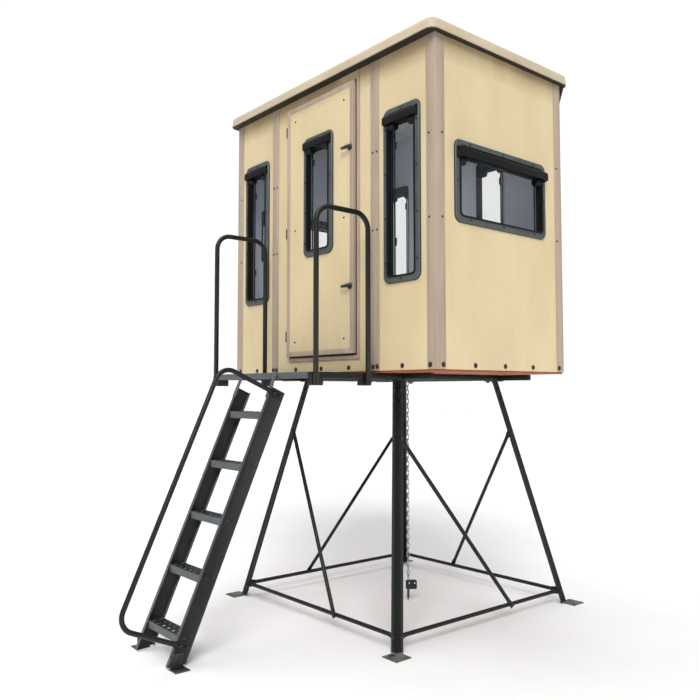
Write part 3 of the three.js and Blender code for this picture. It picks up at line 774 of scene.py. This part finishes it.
# ---- roof
ROOF_CORNER = 0.062  # corner radius of the cap, from above
ROOF_BULGE = 0.027  # how far its rounded top edge runs in
ROOF_FOOT = EAVES + GAP
LEVEL = Matrix.Translation((0, CABIN_Y, 0)) @ Matrix.Rotation(math.pi / 2, 4, "X")


def laid_level(sections, closed=True, steps=6):
    """A moulding laid level over the cabin, so that the depths of its sections are heights."""
    bm = moulding(sections, closed, steps)
    bmesh.ops.transform(bm, matrix=LEVEL, verts=bm.verts)
    return facing_out(bm)


def roof():
    """Moulded cap: a lip along the foot of the fascia, a broad rounded edge and a slight crown."""
    low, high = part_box("roof_shell")
    length, width, top = high.x - low.x, high.y - low.y, high.z
    foot, corner = ROOF_FOOT, ROOF_CORNER
    profile = [(0.36, 0.02, foot + 0.001), (0.012, corner, foot), (0.002, corner, foot + 0.001),
               (0, corner, foot + 0.003), (0, corner, foot + 0.010), (0.003, corner, foot + 0.0125),
               (0.006, corner, foot + 0.014)]
    start = foot + 0.034
    rise = top - 0.004 - start
    for k in range(9):
        angle = k / 8 * math.pi / 2
        inward = ROOF_BULGE * (1 - math.cos(angle))
        profile.append((0.008 + 2 * inward, corner - inward * 0.8, start + rise * math.sin(angle)))
    profile += [(0.30, 0.04, top - 0.003), (0.60, 0.03, top - 0.0012), (1.0, 0.02, top)]
    cap = laid_level([(length - inset, width - inset, radius, height) for inset, radius, height in profile],
                     closed=False, steps=8)
    finished("roof_cap", cap, ROOF, ("roof_shell",), 40)
    roof_soffit(length - 0.014, width - 0.014, high.y)


def roof_soffit(length, width, rear_edge):
    """Strip round the underside of the cap, and the raked wedge along the rear wall, both painted dark brown
    as the shade under the roof.
    """
    foot, corner = ROOF_FOOT, ROOF_CORNER - 0.007
    inner_x, inner_y = 2 * (SIDE + TRIM_FACE + GAP), REAR - FRONT + 2 * (TRIM_FACE + GAP)
    strip = laid_level([(length, width, corner, foot - 0.0004), (length, width, corner, foot - 0.0034),
                        (inner_x, inner_y, 0.003, foot - 0.004), (inner_x, inner_y, 0.003, foot - 0.001)])
    start = REAR + TRIM_FACE + 2 * GAP
    wedge = drawn_out([(-SIDE, start, foot - 0.004), (-SIDE, rear_edge - 0.012, foot - 0.004),
                       (-SIDE, start, foot - 0.138)], (2 * SIDE, 0, 0), 0.002)
    finished("roof_soffit", add(strip, wedge), SOFFIT)


# ---- door
DOOR_STRIP = 0.034
DOOR_EDGE = 0.0011  # thickness of the trim folded round the door's edges
SEAL = 0.013  # black gap between the door and the strips round it
JAMB_DROP = 0.024  # depth of the threshold strip under the seal


def mitred(x0, x1, z0, z1, width, face, thick):
    """Four mitred strips round a rectangle, standing out from y = face."""
    outer = [(x0, z0), (x1, z0), (x1, z1), (x0, z1)]
    inner = [(x0 + width, z0 + width), (x1 - width, z0 + width),
             (x1 - width, z1 - width), (x0 + width, z1 - width)]
    bm = bmesh.new()
    for k in range(4):
        n = (k + 1) % 4
        outline = [(x, face, z) for x, z in (outer[k], outer[n], inner[n], inner[k])]
        add(bm, drawn_out(outline, (0, -thick, 0), 0.0007))
    return bm


def door():
    """Folded edge trim and screws on the door; rubber seal and jamb strips round it on the wall."""
    low, high = DOOR_LOW, DOOR_HIGH
    face, edge = low.y, DOOR_EDGE
    trim = mitred(low.x - edge, high.x + edge, low.z - edge, high.z + edge, DOOR_STRIP, face - GAP, 0.0025)
    returns = [((low.x - edge, face, low.z), (low.x - 0.0001, high.y, high.z)),
               ((high.x + 0.0001, face, low.z), (high.x + edge, high.y, high.z)),
               ((low.x - edge, face, low.z - edge), (high.x + edge, high.y, low.z - 0.0001)),
               ((low.x - edge, face, high.z + 0.0001), (high.x + edge, high.y, high.z + edge))]
    finished("door_edge_trim", add(trim, bars(*returns, edge=0.0004)), TRIM, body="door")
    rows = (low.z + 0.097, low.z + 0.886, high.z - 0.102)
    spots = [facing((0, -1, 0), (x, face - GAP, z)) for x in (-0.270, 0.270) for z in rows]
    finished("door_screws", copies(screw(), spots), HARDWARE, body="door")
    seal = mitred(low.x - 0.001, high.x + SEAL, low.z - SEAL, high.z + SEAL, 0.040, FRONT - GAP, 0.0022)
    finished("door_seal", seal, BLACK)
    jamb, sill, face = high.x + SEAL, low.z - SEAL, FRONT - 0.009
    strips = [((jamb + 0.0005, face, sill - JAMB_DROP), (jamb + 0.0245, FRONT - GAP, EAVES - 0.004)),
              ((low.x, face, sill - JAMB_DROP), (jamb, FRONT - GAP, sill - 0.0005))]
    finished("door_jamb_strips", bars(*strips, edge=0.001), TRIM)


def hinges():
    """The three hinges down the door's left edge."""
    for k in (1, 2, 3):
        node = f"door_hinge_{k}"
        low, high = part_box(node)
        shape = hinge(high.x - 0.006, low.y + 0.006, (low.z + high.z) / 2, high.z - low.z)
        finished(node + "_barrel", shape, HARDWARE, (node,))


def hinge(x, y, middle, height):
    """Five knuckles round one pin, on a narrow leaf fixed to the wall."""
    bm = bmesh.new()
    count = 5
    knuckle = height / count
    foot = middle - height / 2
    unit = turned([(0, 0.0004), (0.005, 0.0004), (0.0058, 0.0012), (0.0058, knuckle - 0.0012),
                   (0.005, knuckle - 0.0004), (0, knuckle - 0.0004)], 16)
    for k in range(count):
        add(bm, unit, Matrix.Translation((x, y, foot + k * knuckle)))
    return add(bm, bar((x - 0.022, y - 0.004, foot + 0.001), (x - 0.004, FRONT - GAP, foot + height - 0.001)))


LATCH_NECK = 0.030  # how far a latch lever stands off the door
LEVER_RUN = ((0.012, 0), (0.006, 0.001), (-0.012, 0.002), (-0.034, 0.003), (-0.052, 0.002), (-0.058, 0.001))
LEVER_HALF_SIZES = ((0.008, 0.007), (0.0125, 0.011), (0.012, 0.0105), (0.0105, 0.009), (0.0095, 0.0085),
                    (0.0085, 0.0075))


def latches():
    """Round black base, a short neck and a lever that ends in a bright cap."""
    neck = LATCH_NECK
    for name in ("lower", "upper"):
        node = "door_latch_" + name
        body = "latch_" + name
        joint = next(j for j in frame["joints"] if j["name"] == f"latch_{name}_turn")
        x, _, z = joint["pos_m"]
        outward = facing((0, -1, 0), (x, DOOR_LOW.y - GAP, z))
        base = turned([(0, 0), (0.021, 0), (0.0215, 0.003), (0.020, 0.010), (0.017, 0.014), (0.0125, 0.018),
                       (0.0115, neck - 0.001), (0.009, neck), (0, neck)], 28)
        path = [Vector((along, 0, neck - 0.006 + rise)) for along, rise in LEVER_RUN]
        lever = swept(path, Vector((0, 1, 0)), LEVER_HALF_SIZES, 14)
        finished(node + "_lever", copies(add(base, lever), [outward]), HARDWARE, (node,), body=body)
        cap = turned([(0, 0), (0.0105, 0), (0.0115, 0.002), (0.0115, 0.012), (0.009, 0.017), (0, 0.0185)], 16)
        tip = copies(cap, [outward @ facing((-1, 0, -0.05), (-0.052, 0, neck - 0.004))])
        finished(node + "_cap", tip, BRIGHT, body=body)


# ---- platform and guard rails
BEAM = 0.038  # width and height of the platform's tubes
CAP_OUT = 0.0012  # how far an end cap stands out of its tube
RAIL_BEND = 0.100  # radius of a guard rail's bends


def platform():
    """The beams and the grate in their own shapes, and a black cap in each open tube end."""
    for name in ("platform_side_beam_left", "platform_side_beam_right", "platform_cross_beam_front",
                 "platform_cross_beam_middle", "platform_cross_beam_rear"):
        dressed(name, STEEL, 0.003, 3)
    dressed("deck_grate", TREAD, 0.0015)
    low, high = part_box("platform_side_beam_right")
    bottom, top = high.z - BEAM + 0.003, high.z - 0.003
    inner, outer = low.x + 0.003, low.x + BEAM - 0.003
    caps = [((left, low.y - CAP_OUT, bottom), (right, low.y + 0.001, top))
            for left, right in ((inner, outer), (-outer, -inner))]
    for beam in ("front", "rear"):
        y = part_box("platform_cross_beam_" + beam)[0].y
        for side in (-1, 1):
            left, right = sorted((side * (high.x - 0.001), side * (high.x + CAP_OUT)))
            caps.append(((left, y + 0.003, bottom), (right, y + BEAM - 0.003, top)))
    finished("beam_end_caps", bars(*caps, edge=0.002), BLACK)


def guard_rails():
    """Round tube bent twice, its feet bolted to the deck beam and to the lug under it."""
    bolts = []
    for name, side in (("left", -1), ("right", 1)):
        node = "guard_rail_" + name
        low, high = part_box(node)
        radius = (high.x - low.x) / 2
        x = (low.x + high.x) / 2
        front, back, top = low.y + radius, high.y - radius, high.z - radius
        corners = ((front, low.z), (front, top), (back, top), (back, low.z))
        path = filleted([Vector((x, y, z)) for y, z in corners], RAIL_BEND, 12)
        finished(node + "_tube", swept(path, Vector((1, 0, 0)), [(radius, radius)] * len(path), 28),
                 STEEL, (node,), 50)
        for y in (front, back):
            for z in (low.z + 0.018, low.z + 0.057):
                bolts.append(facing((side, 0, 0), (x + side * (radius - 0.0015), y, z)))
    finished("rail_bolts", copies(hex_bolt(0.019), bolts), STEEL)


# ---- tower
TOWER_Y = (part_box("base_tie_front")[0].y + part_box("base_tie_rear")[1].y) / 2
LEG_FOOT = 0.830  # half the footprint at the ground
LEG_SPLAY = 0.2099  # inward run for each unit of height
LEG_T = 0.004  # thickness of a leg's flanges
TIE_Z = 0.087  # height of the ties round the tower's base
TUBE = 0.013  # radius of the ties and braces
BRACE_TOP = 1.205  # height of a brace's upper bolt
BRACE_LOW_X = 0.235  # a brace lands past the middle of its tie
LEG_BOLTS = ((TIE_Z, 0.028), (BRACE_TOP, 0.029), (1.440, 0.025), (1.510, 0.025))  # height, in from the corner
QUARTERS = [Matrix.Translation((0, TOWER_Y, 0)) @ Matrix.Rotation(k * math.pi / 2, 4, "Z") for k in range(4)]


def leg_corner(z):
    """How far a leg's outer corner is from the tower's axis, in X and in Y, at a height."""
    return LEG_FOOT - LEG_SPLAY * z


def flat_ended(start, end, side, lift=0.0, tab=0.040):
    """A tube whose ends are pressed flat; lift is how far its round part stands off the tabs."""
    along = (end - start).normalized()
    off = along.cross(side).normalized() * lift
    length = (end - start).length
    runs = [(0, 0), (tab, 0), (tab + 0.012, 0.25), (tab + 0.026, 0.75), (tab + 0.040, 1)]
    stations = runs + [(length - run, share) for run, share in reversed(runs)]
    path = [start + along * run + off * share for run, share in stations]
    flat_wide, flat_thick = TUBE * 1.42, 0.0026
    sections = [(flat_wide + (TUBE - flat_wide) * share, flat_thick + (TUBE - flat_thick) * share)
                for _, share in stations]
    return swept(path, side, sections, 20)


def base_tie():
    """The tie of the front side, inside the legs' flanges."""
    top = TIE_Z + TUBE
    y = -leg_corner(top) + LEG_T + 0.0034
    reach = leg_corner(top) - LEG_T - 0.007
    return flat_ended(Vector((-reach, y, TIE_Z)), Vector((reach, y, TIE_Z)), Vector((0, 0, 1)), -0.0096)


def leg_brace():
    """The brace of the front side, from high on the left leg to past the middle of the tie."""
    corner = LEG_T - leg_corner(BRACE_TOP)
    high = Vector((corner + 0.029, corner + 0.0026, BRACE_TOP))
    low = Vector((BRACE_LOW_X, -leg_corner(TIE_Z) + 0.0017, TIE_Z - 0.003))
    along = (low - high).normalized()
    across = along.cross(Vector((0, -1, LEG_SPLAY))).normalized()
    return flat_ended(high - along * 0.016, low + along * 0.012, across)


def leg_bolts():
    """Bolt heads on one leg's front face and its neighbour's, at the ties, the brace and the head."""
    slope = (0, -1, -LEG_SPLAY)
    spots = [facing(slope, (BRACE_LOW_X, -leg_corner(TIE_Z) - 0.0014, TIE_Z))]
    for z, run in LEG_BOLTS:
        corner = -leg_corner(z)
        spots.append(facing(slope, (corner + run, corner - 0.0006, z)))
        spots.append(facing((-1, 0, -LEG_SPLAY), (corner - 0.0006, corner + run, z)))
    return spots


def tower():
    """Four legs, and the front side's tie, brace and bolts turned onto every side."""
    bolts = copies(hex_bolt(0.016), leg_bolts())
    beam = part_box("platform_cross_beam_front")[0]
    head_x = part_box("tower_leg_front_left")[1].x
    reach = beam.y - TOWER_Y
    near, far = head_x - 0.020, head_x - 0.080
    spots = ((near, reach + 0.019), (far, reach + 0.080), (near, reach + 0.080))
    flange = [facing((0, 0, -1), (x, y, beam.z - 0.0058)) for x, y in spots]
    add(bolts, copies(hex_bolt(0.019), flange))
    shapes = {"base_tie_": base_tie(), "leg_brace_": leg_brace()}
    sides = ("front", "right", "rear", "left")
    legs = ("front_left", "front_right", "rear_right", "rear_left")
    for place, side, leg in zip(QUARTERS, sides, legs):
        dressed("tower_leg_" + leg, LEG, 0.0012)
        for prefix, shape in shapes.items():
            node = prefix + side
            finished(node + "_tube", copies(shape, [place]), STEEL, (node,), 50)
    finished("tower_bolts", copies(bolts, QUARTERS), HARDWARE)


# ---- chain and anchor
def chain_link():
    """A welded link, stretched from a ring: 7 mm wire, 32 mm inside."""
    wire, bend, half = 0.0035, 0.0085, 0.011
    bm = bmesh.new()
    section = bmesh.ops.create_circle(bm, cap_ends=False, radius=wire, segments=8,
                                      matrix=Matrix.Translation((bend, 0, 0)))["verts"]
    bmesh.ops.spin(bm, geom=section + edges_of(section), cent=(0, 0, 0), axis=(0, 1, 0), dvec=(0, 0, 0),
                   angle=TURN, steps=12, use_merge=True, use_duplicate=False)
    bmesh.ops.remove_doubles(bm, verts=bm.verts, dist=1e-6)
    for v in bm.verts:
        if abs(v.co.z) > 1e-5:
            v.co.z += math.copysign(half, v.co.z)
    return facing_out(bm)


def chain():
    """Links hung with every other one turned, and the anchor they end at."""
    low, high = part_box("hold_down_chain")
    drop, pitch = high.z - low.z, 0.032
    count = round((drop - 0.010) / pitch)
    step = (drop - pitch - 0.004) / (count - 1)
    centre = (low + high) / 2
    places = [Matrix.Translation((centre.x, centre.y, high.z - 0.020 - k * step))
              @ Matrix.Rotation(0.5 + (k % 2) * math.pi / 2, 4, "Z") for k in range(count)]
    finished("hold_down_chain_links", copies(chain_link(), places), ZINC,
             ("hold_down_chain",), 50)
    dressed("ground_anchor", HARDWARE, 0.0012)


# ---- ladder
LEAN = math.atan(0.4403)  # the ladder's slope, back from upright
LADDER_FOOT = 1.205  # where its slope meets the ground, out from the front wall
TREAD_LIP, TREAD_BACK, TREAD_END = 0.042, 0.030, 0.022
HOLE_COLUMNS, HOLE_ROWS = 6, 2
HOLE_RIMS = ((0.016, 0), (0.0138, 0.0006), (0.0112, 0.0025), (0.009, 0.0026))  # radius and rise
HOLE_RISE = 0.0026
TREAD_BOLT_X = 0.2062  # outer faces of the stringers and of their foot brackets
FOOT_BOLT_X = 0.2112


def raised_hole(bm, centre, cell_x, cell_y):
    """A rectangle of sheet that rises to a round hole."""
    loops = []
    for k, (radius, rise) in enumerate((HOLE_RIMS[0], *HOLE_RIMS)):
        made = bmesh.ops.create_circle(bm, cap_ends=False, radius=radius, segments=16)["verts"]
        if k == 0:
            for v in made:
                reach = max(abs(v.co.x), abs(v.co.y))
                v.co.x *= cell_x / 2 / reach
                v.co.y *= cell_y / 2 / reach
        bmesh.ops.translate(bm, vec=centre + Vector((0, 0, rise)), verts=made)
        loops.append(edges_of(made))
    bridge(bm, loops)


def ladder_tread(low, high):
    """Pressed sheet with two rows of raised holes, turned down at the front, back and ends."""
    cell_x, cell_y = (high.x - low.x) / HOLE_COLUMNS, (high.y - low.y) / HOLE_ROWS
    sheet = high.z - HOLE_RISE
    bm = bmesh.new()
    for column in range(HOLE_COLUMNS):
        for row in range(HOLE_ROWS):
            centre = Vector((low.x + (column + 0.5) * cell_x, low.y + (row + 0.5) * cell_y, sheet))
            raised_hole(bm, centre, cell_x, cell_y)
    bmesh.ops.remove_doubles(bm, verts=bm.verts, dist=1e-5)
    skirts = ((1, low.y, TREAD_LIP), (1, high.y, TREAD_BACK), (0, low.x, TREAD_END), (0, high.x, TREAD_END))
    for axis, place, drop in skirts:
        rim = [e for e in bm.edges if e.is_boundary and all(
            abs(v.co[axis] - place) < 1e-4 and v.co.z > high.z - 0.004 for v in e.verts)]
        move_new(bm, bmesh.ops.extrude_edge_only(bm, edges=rim), (0, 0, -drop))
    facing_out(bm)
    up = max(bm.faces, key=lambda face: face.calc_area() * abs(face.normal.z))
    if up.normal.z < 0:
        bmesh.ops.reverse_faces(bm, faces=bm.faces)
    bmesh.ops.solidify(bm, geom=bm.faces[:], thickness=0.0022)
    return bm


def ladder():
    """Pressed treads between the two stringers, with bolts at every joint."""
    bolts = []
    for k in range(1, 6):
        node = f"ladder_tread_{k}"
        low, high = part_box(node)
        finished(node + "_pressed", ladder_tread(low, high), TREAD, (node,))
        for side in (-1, 1):
            for run in (0.022, 0.066):
                bolts.append(facing((side, 0, 0), (side * TREAD_BOLT_X, low.y + run, high.z - 0.013)))
    for name, side in (("left", -1), ("right", 1)):
        dressed("ladder_stringer_" + name, TREAD, 0.001)
        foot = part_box("ladder_stringer_" + name)[0].y
        for z, run in ((0.030, 0.064), (0.058, 0.074)):
            bolts.append(facing((side, 0, 0), (side * FOOT_BOLT_X, foot + run, z)))
    finished("ladder_bolts", copies(hex_bolt(0.013), bolts), HARDWARE)


def on_ladder(x, run, out):
    """A point at a run up the ladder's slope and a distance out from it."""
    y = FRONT - LADDER_FOOT + run * math.sin(LEAN) - out * math.cos(LEAN)
    return Vector((x, y, run * math.cos(LEAN) + out * math.sin(LEAN)))


def handrail():
    """Tube with pressed-flat feet bolted to the right stringer."""
    low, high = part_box("ladder_handrail")
    radius = (high.x - low.x) / 2
    x = (low.x + high.x) / 2
    reach, low_run, high_run, back = 0.380, 0.140, 1.636, -0.086
    corners = ((low_run, back), (low_run, reach), (high_run, reach), (high_run, back))
    path = filleted([on_ladder(x, run, out) for run, out in corners], 0.090, 10)
    extra = []
    for start, end in ((path[0], path[1]), (path[-1], path[-2])):
        along = (end - start).normalized()
        extra.append([start + along * run for run in (0.090, 0.105, 0.122)])
    path = [path[0], *extra[0], *path[1:-1], *reversed(extra[1]), path[-1]]
    thin = 0.0035
    flat, half = (thin, radius * 1.38), ((thin + radius) / 2, radius * 1.15)
    full = len(path) - 6
    sections = [flat, flat, half] + [(radius, radius)] * full + [half, flat, flat]
    for point, (wide, _) in zip(path, sections):
        point.x -= radius - wide
    finished("ladder_handrail_tube", swept(path, Vector((1, 0, 0)), sections, 24),
             STEEL, ("ladder_handrail",), 50)
    spots = [facing((1, 0, 0), on_ladder(x, run, out) + Vector((2 * thin - radius, 0, 0)))
             for run in (low_run, high_run) for out in (-0.070, -0.024)]
    finished("handrail_bolts", copies(hex_bolt(0.013), spots), HARDWARE)


# ---- assembly
studio()
carried_over()
windows()
trims()
wall_fasteners()
ceiling()
roof()
door()
hinges()
latches()
platform()
guard_rails()
tower()
chain()
ladder()
handrail()

bpy.context.view_layer.update()
